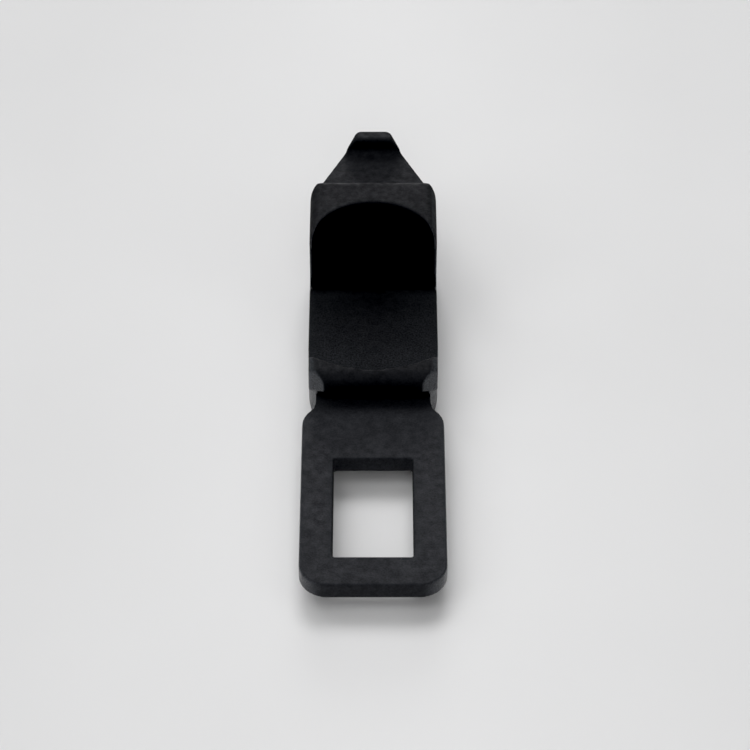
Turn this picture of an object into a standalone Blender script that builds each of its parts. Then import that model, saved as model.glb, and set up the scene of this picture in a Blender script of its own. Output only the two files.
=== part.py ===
"""Strap buckle with a latch tongue, a hooked head and a thumb tab.

Three pieces make one rigid assembly:
  tongue_plate  the flat latch tongue with its window, and the thin tang behind it
  hook_body     the block that grips the tang: nose, round seat, throat and forked head
  thumb_tab     the tapering rear tab with its upright lip, keyed into the block

Metres, +Z up. X runs across the buckle, Y runs along it and Z = 0 is the plane it lies on.
Stations along Y are measured from the tongue's front edge. An empty moves the whole
assembly back by half its length, so that the world origin is under its middle.
"""

import bpy
import bmesh
from math import asin, cos, degrees, pi, radians, sin

MM = 0.001
GAP = 0.3 * MM
MERGE = 0.01 * MM
PAST = 1.0 * MM

# Widths of the two main pieces
TONGUE_WIDTH = 24.8 * MM
BODY_WIDTH = 22.95 * MM

# Tongue
TONGUE_LENGTH = 47.4 * MM
TONGUE_THICK = 3.2 * MM
TONGUE_TOP = 7.2 * MM
FRONT_RADIUS = 4.9 * MM
SHOULDER_RADIUS = 5.5 * MM
SHOULDER_SETBACK = 8.6 * MM
SHOULDER_SWEEP = 50
NECK_HALF = 10.2 * MM
NECK_LENGTH = 2.5 * MM
WINDOW_WIDTH = 13.5 * MM
WINDOW_FRONT_BAR = 6.6 * MM
WINDOW_LENGTH = 23.7 * MM

# Tang, hidden in the block, and the two moulded posts that hold it
TANG_STEP = 1.5 * MM
TANG_HALF = 8.1 * MM
TANG_DROP = 1.0 * MM
TANG_LENGTH = 11.5 * MM
TANG_POST_RADIUS = 1.6 * MM
TANG_POST_SPACING = 8.0 * MM
TANG_POST_DEPTH = 5.5 * MM

# Block, with stations measured from its front face
BODY_LENGTH = 42.6 * MM
TAPER_RUN = 6.5 * MM
JAW_HALF = 9.93 * MM
REAR_CORNER = 4.4 * MM
BASE_EDGE = 1.0 * MM
BASE_BACK_RADIUS = 7.5 * MM
SEAT_Z = 11.9 * MM
THROAT_Z = 10.9 * MM
THROAT_CREASE = 22.2 * MM
THROAT_WALL = 26.3 * MM
THROAT_FILLET = 2.2 * MM
HORN_TIP = 23.2 * MM
HORN_UNDER_Z = 19.6 * MM
HEAD_Z = 21.4 * MM
HEAD_BACK_FILLET = 2.4 * MM
HEAD_SIDE_FILLET = 2.0 * MM

# Nose across the front of the block
NOSE_Z = 13.2 * MM
NOSE_OVERHANG = 3.0 * MM
NOSE_RADIUS = 2.2 * MM
NOSE_LIP_Z = 9.7 * MM
NOSE_REAR = 3.6 * MM
NOSE_FRONT_HALF = 8.63 * MM
NOSE_HALF = 11.35 * MM
NOSE_CHAMFER = 2.7 * MM
NOSE_END_RUN = 2.2 * MM
NOSE_END_DROP = 1.2 * MM

# Round seat behind the nose, and the bite in the head
SEAT_RADIUS = 17.3 * MM
SEAT_CENTRE = 16.5 * MM
BITE_RADIUS = 10.97 * MM
BITE_CENTRE = 24.7 * MM

# Tab
TAB_THICK = 2.6 * MM
TAB_TOP = 19.2 * MM
TAB_ROOT_HALF = 9.76 * MM
TAB_WAIST = 8.5 * MM
TAB_WAIST_HALF = 5.95 * MM
TAB_TIP_HALF = 2.9 * MM
TAB_TIP_ROUND = 0.5 * MM
TAB_BEND = 7.9 * MM
TAB_BEND_RADIUS = 1.6 * MM
TAB_LIP_RISE = 3.75 * MM
TAB_LIP_HALF = 3.25 * MM
TAB_LIP_ROUND = 0.5 * MM
TAB_KEY_HALF = 6.0 * MM
TAB_KEY_LENGTH = 4.2 * MM
TAB_POST_RADIUS = 1.1 * MM

BODY_FRONT = TONGUE_LENGTH
BODY_BACK = BODY_FRONT + BODY_LENGTH
TAB_ROOT = BODY_BACK + GAP
TAB_FOOT_RADIUS = TAB_BEND_RADIUS + TAB_THICK
LENGTH = BODY_BACK + TAB_BEND + TAB_FOOT_RADIUS
FLAT = (0, 0, 0)
ACROSS = (pi / 2, 0, pi / 2)
ALONG = (pi / 2, 0, 0)


def clear_scene():
    for item in list(bpy.data.objects):
        bpy.data.objects.remove(item)


def new_collection(name):
    collection = bpy.data.collections.new(name)
    bpy.context.scene.collection.children.link(collection)
    return collection


def nylon(name, value, roughness):
    """Black sintered nylon, a touch bluer than grey."""
    material = bpy.data.materials.new(name)
    material.use_nodes = True
    shader = material.node_tree.nodes["Principled BSDF"]
    shader.inputs["Base Color"].default_value = (value, value, value * 1.1, 1)
    shader.inputs["Roughness"].default_value = roughness
    shader.inputs["Metallic"].default_value = 0
    return material


def arc(centre_x, centre_y, radius, start, end, steps):
    """Points on a circle from one angle to another, both in degrees."""
    points = []
    for i in range(steps + 1):
        angle = radians(start + (end - start) * i / steps)
        points.append((centre_x + radius * cos(angle), centre_y + radius * sin(angle)))
    return points


def circle(centre_x, centre_y, radius, steps):
    return arc(centre_x, centre_y, radius, 0, 360, steps)[:-1]


def mirrored(half):
    """A closed outline from its +X half."""
    return half + [(-x, y) for x, y in reversed(half)]


def prism(name, outlines, low, high, collection, turn=FLAT):
    """A solid between two levels on flat outlines, the first outside and the rest holes.

    FLAT outlines lie in XY between two heights. ACROSS ones lie in YZ between two places
    along X, and ALONG ones in XZ between two stations.
    """
    curve = bpy.data.curves.new(name, "CURVE")
    curve.dimensions = "2D"
    curve.fill_mode = "BOTH"
    curve.extrude = (high - low) / 2
    for outline in outlines:
        spline = curve.splines.new("POLY")
        spline.points.add(len(outline) - 1)
        for point, (x, y) in zip(spline.points, outline):
            point.co = (x, y, 0, 1)
        spline.use_cyclic_u = True
    guide = bpy.data.objects.new(name + "_outline", curve)
    middle = (low + high) / 2
    guide.location = {FLAT: (0, 0, middle), ACROSS: (middle, 0, 0), ALONG: (0, middle, 0)}[turn]
    guide.rotation_euler = turn
    collection.objects.link(guide)
    return mesh_from_curve(name, guide, collection)


def mesh_from_curve(name, guide, collection):
    """The curve's solid as a mesh object with welded caps; the curve is removed."""
    bpy.context.view_layer.update()
    evaluated = guide.evaluated_get(bpy.context.evaluated_depsgraph_get())
    mesh = bpy.data.meshes.new_from_object(evaluated)
    mesh.name = name
    cage = bmesh.new()
    cage.from_mesh(mesh)
    bmesh.ops.remove_doubles(cage, verts=cage.verts, dist=MERGE)
    bmesh.ops.recalc_face_normals(cage, faces=cage.faces)
    cage.to_mesh(mesh)
    cage.free()
    solid = bpy.data.objects.new(name, mesh)
    solid.matrix_world = guide.matrix_world
    collection.objects.link(solid)
    bpy.data.objects.remove(guide)
    return solid


def combine(target, tool, operation):
    modifier = target.modifiers.new(operation.lower() + "_" + tool.name, "BOOLEAN")
    modifier.operation = operation
    modifier.object = tool
    tool.hide_render = True
    tool.display_type = "WIRE"


def finish(target, frame, material):
    target.parent = frame
    target.data.materials.append(material)
    target.data.shade_smooth()
    target.data.set_sharp_from_angle(angle=radians(35))


def tongue_outline():
    """Half outline of the tongue: round front corner, straight side, round shoulder, neck."""
    half = TONGUE_WIDTH / 2
    corner = arc(half - FRONT_RADIUS, FRONT_RADIUS, FRONT_RADIUS, -90, 0, 10)
    shoulder_x = half - SHOULDER_RADIUS
    shoulder_y = BODY_FRONT - SHOULDER_SETBACK
    shoulder = arc(shoulder_x, shoulder_y, SHOULDER_RADIUS, 0, SHOULDER_SWEEP, 7)
    neck = [(NECK_HALF, BODY_FRONT - NECK_LENGTH), (NECK_HALF, BODY_FRONT - GAP)]
    return corner + shoulder + neck


def window_outline():
    half = WINDOW_WIDTH / 2
    rear = WINDOW_FRONT_BAR + WINDOW_LENGTH
    return mirrored([(half, WINDOW_FRONT_BAR), (half, rear)])


def tang_posts(radius):
    """Outlines of the block's two posts, which pass through the tang."""
    side = TANG_POST_SPACING / 2
    return [circle(x, BODY_FRONT + TANG_POST_DEPTH, radius, 20) for x in (-side, side)]


def build_tongue(parts, cutters):
    bottom = TONGUE_TOP - TONGUE_THICK
    tang_top = TONGUE_TOP - TANG_DROP
    step = BODY_FRONT - TANG_STEP
    outlines = [mirrored(tongue_outline()), window_outline()]
    plate = prism("tongue_plate", outlines, bottom, TONGUE_TOP, parts)
    recess = mirrored([(TANG_HALF, step), (TANG_HALF + 2 * GAP, BODY_FRONT)])
    combine(plate, prism("tang_step", [recess], tang_top, TONGUE_TOP + PAST, cutters), "DIFFERENCE")
    half = TANG_HALF - GAP
    tang = [mirrored([(half, step - PAST), (half, BODY_FRONT + TANG_LENGTH)])]
    tang += tang_posts(TANG_POST_RADIUS + GAP)
    combine(plate, prism("tang", tang, bottom, tang_top, cutters), "UNION")
    return plate


def body_side():
    """Side outline of the block as (Y, Z): base, back, head, horn, throat, seat and nose."""
    base_back = arc(BODY_BACK - BASE_BACK_RADIUS, BASE_BACK_RADIUS, BASE_BACK_RADIUS, -90, 0, 12)
    fillet = HEAD_BACK_FILLET
    head_back = arc(BODY_BACK - fillet, HEAD_Z - fillet, fillet, 0, 90, 8)
    horn_tip = BODY_FRONT + HORN_TIP
    horn = [(horn_tip, HEAD_Z), (horn_tip, HORN_UNDER_Z)]
    wall = BODY_FRONT + THROAT_WALL - THROAT_FILLET
    throat_top = arc(wall, HORN_UNDER_Z - THROAT_FILLET, THROAT_FILLET, 90, 0, 6)
    throat_foot = arc(wall, THROAT_Z + THROAT_FILLET, THROAT_FILLET, 0, -90, 6)
    nose_rear = BODY_FRONT + NOSE_REAR
    seat = [(BODY_FRONT + THROAT_CREASE, SEAT_Z), (nose_rear, SEAT_Z), (nose_rear, NOSE_Z)]
    nose_front = BODY_FRONT - NOSE_OVERHANG
    nose = arc(nose_front + NOSE_RADIUS, NOSE_Z - NOSE_RADIUS, NOSE_RADIUS, 90, 180, 10)
    front = [
        (nose_front, NOSE_LIP_Z),
        (BODY_FRONT, TONGUE_TOP + GAP),
        (BODY_FRONT, BASE_EDGE),
        (BODY_FRONT + BASE_EDGE, 0),
    ]
    return base_back + head_back + horn + throat_top + throat_foot + seat + nose + front


def body_plan():
    """Half plan outline of the block: chamfered nose, long sides, round rear corners."""
    half = BODY_WIDTH / 2
    nose_front = BODY_FRONT - NOSE_OVERHANG
    chamfer = [
        (NOSE_FRONT_HALF, nose_front - PAST),
        (NOSE_FRONT_HALF, nose_front),
        (NOSE_HALF, nose_front + NOSE_CHAMFER),
        (half, BODY_FRONT + TAPER_RUN),
    ]
    corner = arc(half - REAR_CORNER, BODY_BACK - REAR_CORNER, REAR_CORNER, 0, 90, 8)
    return chamfer + corner


def body_section():
    """Half outline of the block seen along its length: straight sides, round top edges."""
    half = BODY_WIDTH / 2
    fillet = HEAD_SIDE_FILLET
    return [(half, -PAST)] + arc(half - fillet, HEAD_Z - fillet, fillet, 0, 90, 8)


def nose_end(side):
    """Section of what is cut to round the top of one end of the nose."""
    inner = BODY_WIDTH / 2 - NOSE_END_RUN
    low = NOSE_Z - NOSE_END_DROP
    outer = BODY_WIDTH / 2 + PAST
    curve = []
    for i in range(9):
        angle = radians(90 * i / 8)
        curve.append((inner + NOSE_END_RUN * sin(angle), low + NOSE_END_DROP * cos(angle)))
    outside = [(outer, low), (outer, NOSE_Z + PAST), (inner, NOSE_Z + PAST)]
    return [(side * x, z) for x, z in curve + outside]


def jaw_relief(side):
    """Outline of what is cut from one side of the lower jaw, so that it narrows forward."""
    half = BODY_WIDTH / 2
    drop = half - JAW_HALF
    radius = (TAPER_RUN * TAPER_RUN + drop * drop) / (2 * drop)
    sweep = degrees(asin(TAPER_RUN / radius))
    taper = arc(half - radius, BODY_FRONT + TAPER_RUN, radius, -sweep, 0, 8)
    front = BODY_FRONT - NOSE_OVERHANG - PAST
    outside = [(half + PAST, BODY_FRONT + TAPER_RUN), (half + PAST, front), (JAW_HALF, front)]
    return [(side * x, y) for x, y in taper + outside]


def bite_outline():
    """The bite in the head: a half circle with straight legs that open to the front."""
    centre = BODY_FRONT + BITE_CENTRE
    round_end = arc(0, centre, BITE_RADIUS, 0, 180, 40)
    front = centre - BITE_RADIUS
    return [(BITE_RADIUS, front)] + round_end + [(-BITE_RADIUS, front)]


def seat_outline():
    """The front of the round seat, from the nose back to the throat."""
    centre = BODY_FRONT + SEAT_CENTRE
    reach = degrees(asin((BODY_WIDTH / 2 + PAST) / SEAT_RADIUS))
    rim = arc(0, centre, SEAT_RADIUS, -90 - reach, -90 + reach, 32)
    return rim + [(rim[-1][0], centre), (rim[0][0], centre)]


def tab_post(radius):
    """Outline of the block's post, which passes through the tab's key."""
    return circle(0, BODY_BACK - TAB_KEY_LENGTH / 2, radius, 16)


def build_body(parts, cutters):
    half = BODY_WIDTH / 2
    body = prism("hook_body", [body_side()], -half, half, parts, ACROSS)
    plan = prism("body_plan", [mirrored(body_plan())], -PAST, HEAD_Z + PAST, cutters)
    combine(body, plan, "INTERSECT")
    front = BODY_FRONT - NOSE_OVERHANG - PAST
    section = prism("body_section", [mirrored(body_section())], front, BODY_BACK + PAST, cutters, ALONG)
    combine(body, section, "INTERSECT")
    for name, side in (("left", -1), ("right", 1)):
        relief = [jaw_relief(side)]
        cut = prism("jaw_relief_" + name, relief, -PAST, TONGUE_TOP + GAP, cutters)
        combine(body, cut, "DIFFERENCE")
        back = BODY_FRONT + NOSE_REAR + PAST
        cut = prism("nose_end_" + name, [nose_end(side)], front, back, cutters, ALONG)
        combine(body, cut, "DIFFERENCE")
    combine(body, prism("bite", [bite_outline()], SEAT_Z, HEAD_Z + PAST, cutters), "DIFFERENCE")
    combine(body, prism("seat", [seat_outline()], SEAT_Z, NOSE_Z + PAST, cutters), "DIFFERENCE")
    rear = BODY_FRONT + TANG_LENGTH + GAP
    tang = [mirrored([(TANG_HALF, BODY_FRONT - PAST), (TANG_HALF, rear)])]
    tang += tang_posts(TANG_POST_RADIUS)
    low = TONGUE_TOP - TONGUE_THICK - GAP
    high = TONGUE_TOP - TANG_DROP + GAP
    combine(body, prism("tang_socket", tang, low, high, cutters), "DIFFERENCE")
    key_half = TAB_KEY_HALF + GAP
    key_end = BODY_BACK - TAB_KEY_LENGTH - GAP
    key = [mirrored([(key_half, key_end), (key_half, BODY_BACK + PAST)]), tab_post(TAB_POST_RADIUS)]
    low = TAB_TOP - TAB_THICK - GAP
    combine(body, prism("tab_socket", key, low, TAB_TOP + GAP, cutters), "DIFFERENCE")
    return body


def tab_side():
    """Side outline of the tab as (Y, Z): a flat run, a tight bend and an upright lip."""
    bend_y = BODY_BACK + TAB_BEND
    centre_z = TAB_TOP + TAB_BEND_RADIUS
    inside = arc(bend_y, centre_z, TAB_BEND_RADIUS, -90, 0, 6)
    outside = arc(bend_y, centre_z, TAB_FOOT_RADIUS, -90, 0, 12)
    high = TAB_TOP + TAB_LIP_RISE - TAB_LIP_ROUND
    rear_edge = arc(LENGTH - TAB_LIP_ROUND, high, TAB_LIP_ROUND, 0, 90, 4)
    front_y = LENGTH - TAB_THICK + TAB_LIP_ROUND
    front_edge = arc(front_y, high, TAB_LIP_ROUND, 90, 180, 4)
    root = [(TAB_ROOT, TAB_TOP), (TAB_ROOT, TAB_TOP - TAB_THICK)]
    return root + outside + rear_edge + front_edge + list(reversed(inside))


def tab_plan():
    """Half plan outline of the tab: straight taper to a waist, then to a round-cornered tip."""
    tip_y = LENGTH + PAST
    corner = LENGTH - TAB_TIP_ROUND
    return [
        (TAB_ROOT_HALF, TAB_ROOT - PAST),
        (TAB_ROOT_HALF, TAB_ROOT),
        (TAB_WAIST_HALF, BODY_BACK + TAB_WAIST),
        (TAB_TIP_HALF, corner),
        (TAB_TIP_HALF - TAB_TIP_ROUND, LENGTH),
        (TAB_TIP_HALF - TAB_TIP_ROUND, tip_y),
    ]


def tab_section():
    """Half outline of the tab seen along its length: the lip narrows towards its top."""
    wide = TAB_ROOT_HALF + PAST
    high = TAB_TOP + TAB_LIP_RISE
    lip = [(TAB_WAIST_HALF, TAB_TOP), (TAB_LIP_HALF, high), (TAB_LIP_HALF, high + PAST)]
    return [(wide, 0), (wide, TAB_TOP)] + lip


def build_tab(parts, cutters):
    half = TAB_ROOT_HALF + PAST
    tab = prism("thumb_tab", [tab_side()], -half, half, parts, ACROSS)
    combine(tab, prism("tab_plan", [mirrored(tab_plan())], 0, 2 * HEAD_Z, cutters), "INTERSECT")
    section = prism("tab_section", [mirrored(tab_section())], BODY_BACK, LENGTH + PAST, cutters, ALONG)
    combine(tab, section, "INTERSECT")
    key = mirrored([(TAB_KEY_HALF, BODY_BACK - TAB_KEY_LENGTH), (TAB_KEY_HALF, TAB_ROOT + PAST)])
    outlines = [key, tab_post(TAB_POST_RADIUS + GAP)]
    combine(tab, prism("tab_key", outlines, TAB_TOP - TAB_THICK, TAB_TOP, cutters), "UNION")
    return tab


def main():
    clear_scene()
    parts = new_collection("strap_buckle")
    cutters = new_collection("cutters")
    frame = bpy.data.objects.new("buckle_frame", None)
    frame.location = (0, -LENGTH / 2, 0)
    parts.objects.link(frame)
    finish(build_tongue(parts, cutters), frame, nylon("tongue_nylon", 0.022, 0.72))
    finish(build_body(parts, cutters), frame, nylon("body_nylon", 0.020, 0.74))
    finish(build_tab(parts, cutters), frame, nylon("tab_nylon", 0.021, 0.73))
    for cutter in cutters.objects:
        cutter.parent = frame


main()
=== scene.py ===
"""Looks of the strap buckle: three black sintered-nylon mouldings on a pale table.

Each CAD node is shown by a finer moulding made from it, with softly rounded edges. The
material is black nylon powder, sintered and dyed: dark and slightly blue, with a fine grain,
faint mottling and smoother side walls. Painted light pales the side walls, corners and edges,
and painted shade darkens the seat under the hook.
"""

from math import cos, pi, radians, sin

import bmesh
import bpy
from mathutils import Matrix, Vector


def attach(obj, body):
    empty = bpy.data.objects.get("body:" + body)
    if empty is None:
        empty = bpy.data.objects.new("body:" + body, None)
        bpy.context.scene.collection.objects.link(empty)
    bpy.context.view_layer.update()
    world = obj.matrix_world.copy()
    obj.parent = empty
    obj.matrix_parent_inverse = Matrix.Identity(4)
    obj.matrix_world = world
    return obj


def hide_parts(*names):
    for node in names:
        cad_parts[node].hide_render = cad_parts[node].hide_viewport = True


MM = 0.001

# Fine mesh of the mouldings, and how many smoothing passes round their edges. The tab's
# slanted edges need the finer mesh.
WELD_REACH = 0.002 * MM
VOXEL = 0.24 * MM
EDGE_PASSES = 6
TAB_VOXEL = 0.15 * MM
TAB_EDGE_PASSES = 16

# Camera: elevation of the view, its lens and where it aims
VIEW_ELEVATION = 42
SENSOR = 36
FOCAL = 150.24
AIM_Y = -5.15 * MM
AIM_Z = 7.2 * MM
AIM_DEPTH = 550.3 * MM
CAMERA_SHIFT_X = 0.32 * MM
CAMERA_SHIFT_UP = 3.87 * MM

# Soft lights: azimuth from the front towards the right, elevation, strength
LIGHT_SPREAD = 28
LIGHTS = {
    "front_low": (0, 15, 0.19),
    "front": (0, 38, 0.50),
    "front_high": (0, 62, 0.12),
    "right_front": (60, 38, 0.16),
    "right_front_high": (60, 62, 0.10),
    "right_rear_high": (120, 62, 0.10),
    "rear_low": (180, 15, 0.91),
    "rear": (180, 38, 0.17),
    "rear_high": (180, 62, 1.07),
    "left_rear": (240, 38, 0.16),
    "left_rear_high": (240, 62, 0.48),
    "left_front": (300, 38, 0.35),
    "left_front_high": (315, 62, 0.36),
}
BLACK_POINT = 0.0045

# Table: half its side, and the paleness of its top in the middle and out to the sides, a painted
# falloff of the light
TABLE_HALF = 2.0
TABLE_MIDDLE = 0.79
TABLE_SIDES = 0.74
TABLE_TINT = (1.0, 1.0, 1.005)

# Dye and the tint of its gloss, both a touch blue
DYE = (0.88, 0.95, 1.06)
GLOSS_TINT = (0.85, 0.88, 1.0, 1.0)

# The seat behind the nose: its height band, its front, and its painted shade, a dark patch
# standing for the hook's shadow, with the distances over which it pales forward and ends rearward
SEAT_LOW = 9.5 * MM
SEAT_HIGH = 12.6 * MM
SEAT_FRONT = -4.7 * MM
SEAT_DARKEST_Y = 16.8 * MM
SEAT_DARK_REACH = 2 * MM
SEAT_PALE_REACH = 18 * MM

# The smoother finish and the painted light of the side walls begin to fade at one height and end
# at the other
WALL_FADE = 12 * MM
WALL_TOP = 19 * MM

# Grain of the nylon: noise scales per metre, and how deep it stands
GRAIN_SCALE = 3200
CLUMP_SCALE = 900
MOTTLE_SCALE = 120
GRAIN_DEPTH = 0.04 * MM

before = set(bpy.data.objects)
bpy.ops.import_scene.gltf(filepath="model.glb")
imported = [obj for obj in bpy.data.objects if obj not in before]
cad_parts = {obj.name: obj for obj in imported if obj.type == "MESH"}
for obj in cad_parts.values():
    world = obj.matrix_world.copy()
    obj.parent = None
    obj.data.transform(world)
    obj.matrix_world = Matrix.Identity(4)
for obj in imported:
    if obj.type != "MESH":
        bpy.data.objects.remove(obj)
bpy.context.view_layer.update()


class Nodes:
    """Shorthand for building one material's node tree."""

    def __init__(self, name):
        self.material = bpy.data.materials.new(name)
        self.material.use_nodes = True
        self.tree = self.material.node_tree
        self.shader = self.tree.nodes["Principled BSDF"]
        self.place = self.add("ShaderNodeTexCoord").outputs["Object"]

    def add(self, kind):
        return self.tree.nodes.new(kind)

    def join(self, value, socket):
        if isinstance(value, (int, float, tuple)):
            socket.default_value = value
        else:
            self.tree.links.new(value, socket)

    def noise(self, scale, detail, roughness=0.5):
        """A noise over the piece's own coordinates."""
        texture = self.add("ShaderNodeTexNoise")
        self.join(self.place, texture.inputs["Vector"])
        self.join(scale, texture.inputs["Scale"])
        self.join(detail, texture.inputs["Detail"])
        self.join(roughness, texture.inputs["Roughness"])
        return texture.outputs["Fac"]

    def remap(self, value, low, high, to_low, to_high):
        node = self.add("ShaderNodeMapRange")
        self.join(value, node.inputs["Value"])
        self.join(low, node.inputs["From Min"])
        self.join(high, node.inputs["From Max"])
        self.join(to_low, node.inputs["To Min"])
        self.join(to_high, node.inputs["To Max"])
        return node.outputs["Result"]

    def math(self, operation, a, b=0.0):
        node = self.add("ShaderNodeMath")
        node.operation = operation
        self.join(a, node.inputs[0])
        self.join(b, node.inputs[1])
        return node.outputs["Value"]

    def times(self, a, b):
        return self.math("MULTIPLY", a, b)

    def parts(self, vector):
        node = self.add("ShaderNodeSeparateXYZ")
        self.join(vector, node.inputs["Vector"])
        return node.outputs

    def distance(self, point):
        """Distance in plan from a point on the piece."""
        axes = self.parts(self.place)
        across = self.math("SUBTRACT", axes["X"], point[0])
        along = self.math("SUBTRACT", axes["Y"], point[1])
        squares = self.math("ADD", self.math("POWER", across, 2.0), self.math("POWER", along, 2.0))
        return self.math("SQRT", squares)

    def tint(self, value, colour):
        """A colour scaled by a value."""
        node = self.add("ShaderNodeVectorMath")
        node.operation = "SCALE"
        self.join(colour, node.inputs[0])
        self.join(value, node.inputs["Scale"])
        return node.outputs["Vector"]


def sintered_nylon(name, shade, gloss, rough=0.7, wall_rough=0.33, side_light=0.02, painted_shade_lifts_to=None):
    """Black dyed nylon powder, with painted light paling its walls, corners and edges.

    Given a level to pale to, painted shade stands for the hook's shadow on the seat: darkest at
    the throat and paling forward of it.
    """
    n = Nodes(name)
    grain = n.noise(GRAIN_SCALE, 3.0, 0.65)
    clumps = n.noise(CLUMP_SCALE, 2.0)
    mottle = n.noise(MOTTLE_SCALE, 3.0)
    geometry = n.add("ShaderNodeNewGeometry")

    facing = n.parts(geometry.outputs["Normal"])
    spot = n.parts(n.place)
    # Outward side walls low on the piece: a smoother finish, and painted light for the floor's
    # reflection.
    outward = n.times(facing["X"], n.math("SIGN", spot["X"]))
    wall = n.remap(outward, 0.2, 0.6, 0.0, 1.0)
    wall = n.times(wall, n.remap(spot["Z"], WALL_FADE, WALL_TOP, 1.0, 0.0))
    edge = n.remap(geometry.outputs["Pointiness"], 0.52, 0.60, 0.0, 1.0)

    level = shade
    # Painted shade: the hook's shadow on the seat, darkest at the throat and paling forward.
    if painted_shade_lifts_to:
        away = n.distance((0, SEAT_DARKEST_Y))
        pale = n.remap(away, SEAT_DARK_REACH, SEAT_PALE_REACH, shade, painted_shade_lifts_to)
        throat = SEAT_DARKEST_Y + SEAT_DARK_REACH
        level = n.times(pale, n.remap(spot["Y"], SEAT_DARKEST_Y, throat, 1.0, 0.0))
    speckle = n.remap(grain, 0.35, 0.65, 0.4, 1.6)
    cloud = n.remap(mottle, 0.3, 0.7, 0.85, 1.15)
    dyed = n.times(n.times(speckle, cloud), level)
    # Painted light: side walls and convex edges paled, standing for the floor's reflection and
    # edge highlights.
    painted_side_light = n.math("ADD", n.times(n.times(wall, speckle), side_light), n.times(edge, side_light * 0.3))
    tone = n.math("ADD", dyed, painted_side_light)
    n.join(n.tint(tone, DYE), n.shader.inputs["Base Color"])

    finish = n.remap(wall, 0.0, 1.0, rough, wall_rough)
    wear = n.remap(clumps, 0.3, 0.7, 0.1, -0.1)
    n.join(n.math("ADD", finish, wear), n.shader.inputs["Roughness"])

    height = n.math("ADD", grain, n.times(clumps, 0.6))
    bump = n.add("ShaderNodeBump")
    n.join(0.8, bump.inputs["Strength"])
    n.join(GRAIN_DEPTH, bump.inputs["Distance"])
    n.join(height, bump.inputs["Height"])
    n.join(bump.outputs["Normal"], n.shader.inputs["Normal"])

    n.join(gloss, n.shader.inputs["Specular IOR Level"])
    n.join(GLOSS_TINT, n.shader.inputs["Specular Tint"])
    n.join(1.5, n.shader.inputs["IOR"])
    return n.material


def weld(mesh):
    cage = bmesh.new()
    cage.from_mesh(mesh)
    bmesh.ops.remove_doubles(cage, verts=cage.verts, dist=WELD_REACH)
    cage.to_mesh(mesh)
    cage.free()


def moulding(name, node, material, voxel=VOXEL, passes=EDGE_PASSES):
    """A fine mesh of a CAD node, its edges rounded, standing for that node."""
    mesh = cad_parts[node].data.copy()
    weld(mesh)
    piece = bpy.data.objects.new(name, mesh)
    bpy.context.scene.collection.objects.link(piece)
    remesh = piece.modifiers.new("fine_mesh", "REMESH")
    remesh.mode = "VOXEL"
    remesh.voxel_size = voxel
    smooth = piece.modifiers.new("round_edges", "SMOOTH")
    smooth.factor = 0.5
    smooth.iterations = passes
    bpy.context.view_layer.update()
    evaluated = piece.evaluated_get(bpy.context.evaluated_depsgraph_get())
    fine = bpy.data.meshes.new_from_object(evaluated)
    piece.modifiers.clear()
    piece.data = fine
    fine.materials.clear()
    fine.materials.append(material)
    fine.shade_smooth()
    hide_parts(node)
    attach(piece, "root")
    return piece


def paint_seat_shade(piece, material):
    """The sunken seat between nose and throat gets a rougher finish and painted shade: darker
    colour and less gloss standing for the hook's shadow.
    """
    mesh = piece.data
    mesh.materials.append(material)
    for face in mesh.polygons:
        sunken = SEAT_LOW < face.center.z < SEAT_HIGH and face.normal.z > 0.5
        if sunken and face.center.y > SEAT_FRONT:
            face.material_index = 1


def table():
    n = Nodes("table_white")
    cloud = n.remap(n.noise(14, 3.0), 0.3, 0.7, 0.985, 1.015)
    aside = n.math("ABSOLUTE", n.parts(n.place)["X"])
    # Painted light: the table top darkens away from the middle as the light falls off.
    falloff = n.remap(aside, 5 * MM, 60 * MM, TABLE_MIDDLE, TABLE_SIDES)
    tone = n.times(cloud, falloff)
    n.join(n.tint(tone, TABLE_TINT), n.shader.inputs["Base Color"])
    n.join(0.9, n.shader.inputs["Roughness"])
    n.join(0.1, n.shader.inputs["Specular IOR Level"])
    half = TABLE_HALF
    corners = [(-half, -half, 0), (half, -half, 0), (half, half, 0), (-half, half, 0)]
    mesh = bpy.data.meshes.new("table_top")
    mesh.from_pydata(corners, [], [(0, 1, 2, 3)])
    mesh.materials.append(n.material)
    floor = bpy.data.objects.new("table_top", mesh)
    bpy.context.scene.collection.objects.link(floor)


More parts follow.
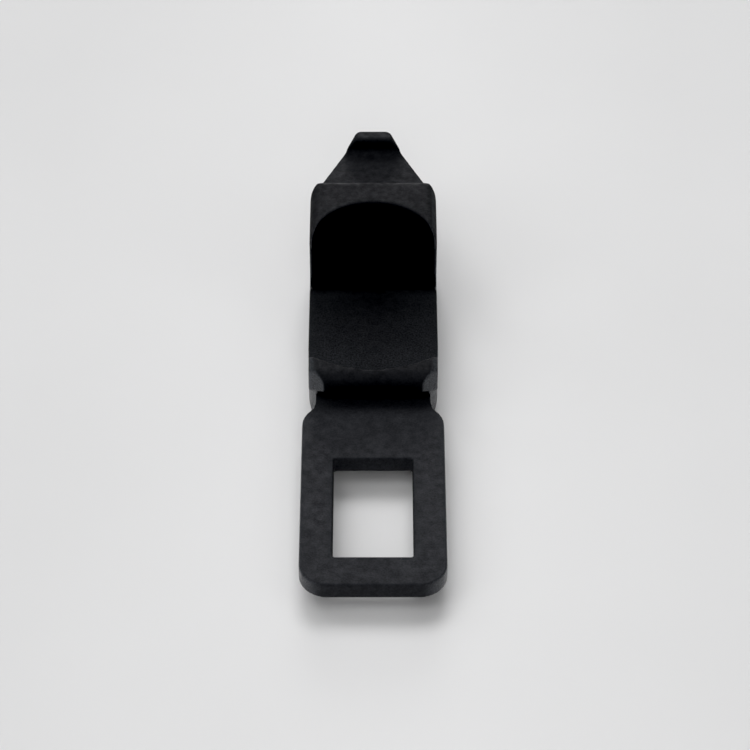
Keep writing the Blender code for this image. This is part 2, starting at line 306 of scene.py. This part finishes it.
def sun(name, azimuth, elevation, spread, strength):
    """Soft light from one side of the sky. Azimuth 0 is from the front, 90 from the right."""
    lamp = bpy.data.lights.new(name, "SUN")
    lamp.angle = radians(spread)
    lamp.energy = strength
    light = bpy.data.objects.new(name, lamp)
    a = radians(azimuth)
    e = radians(elevation)
    toward = Vector((sin(a) * cos(e), -cos(a) * cos(e), sin(e)))
    light.rotation_euler = toward.to_track_quat("Z", "Y").to_euler()
    bpy.context.scene.collection.objects.link(light)


def lights():
    for name, (azimuth, elevation, strength) in LIGHTS.items():
        sun(name, azimuth, elevation, LIGHT_SPREAD, strength)
    world = bpy.data.worlds.new("studio")
    bpy.context.scene.world = world
    world.use_nodes = True
    background = world.node_tree.nodes["Background"]
    background.inputs["Strength"].default_value = 0.0


def camera():
    lens = bpy.data.cameras.new("camera")
    lens.sensor_width = SENSOR
    lens.lens = FOCAL
    lens.clip_start = 0.01
    view = bpy.data.objects.new("camera", lens)
    e = radians(VIEW_ELEVATION)
    aim = Vector((CAMERA_SHIFT_X, AIM_Y, AIM_Z))
    up = Vector((0, sin(e), cos(e)))
    back = Vector((0, -cos(e), sin(e)))
    view.location = aim + back * AIM_DEPTH + up * CAMERA_SHIFT_UP
    view.rotation_euler = (pi / 2 - e, 0, 0)
    bpy.context.scene.collection.objects.link(view)
    bpy.context.scene.camera = view


def print_settings():
    """Plain colours, with the deepest blacks closed up as in a studio print."""
    view = bpy.context.scene.view_settings
    view.view_transform = "Standard"
    view.use_curve_mapping = True
    view.curve_mapping.black_level = (BLACK_POINT, BLACK_POINT, BLACK_POINT)
    view.curve_mapping.update()


camera()
lights()
table()
print_settings()
# One nylon on all pieces; the tongue's paler dye is painted light, lifting its shaded strip in
# front of the nose.
tongue_nylon = sintered_nylon("tongue_nylon", 0.007, 0.31)
body_nylon = sintered_nylon("body_nylon", 0.004, 0.165, side_light=0.04)
# The seat's darker, less glossy nylon is painted shade for the hook's shadow.
seat_shade_nylon = sintered_nylon("seat_shade_nylon", 0.002, 0.07, rough=0.8, side_light=0.0, painted_shade_lifts_to=0.0135)
tab_nylon = sintered_nylon("tab_nylon", 0.004, 0.215)
moulding("tongue_moulding", "tongue_plate", tongue_nylon)
hook = moulding("hook_moulding", "hook_body", body_nylon)
paint_seat_shade(hook, seat_shade_nylon)
moulding("tab_moulding", "thumb_tab", tab_nylon, TAB_VOXEL, TAB_EDGE_PASSES)
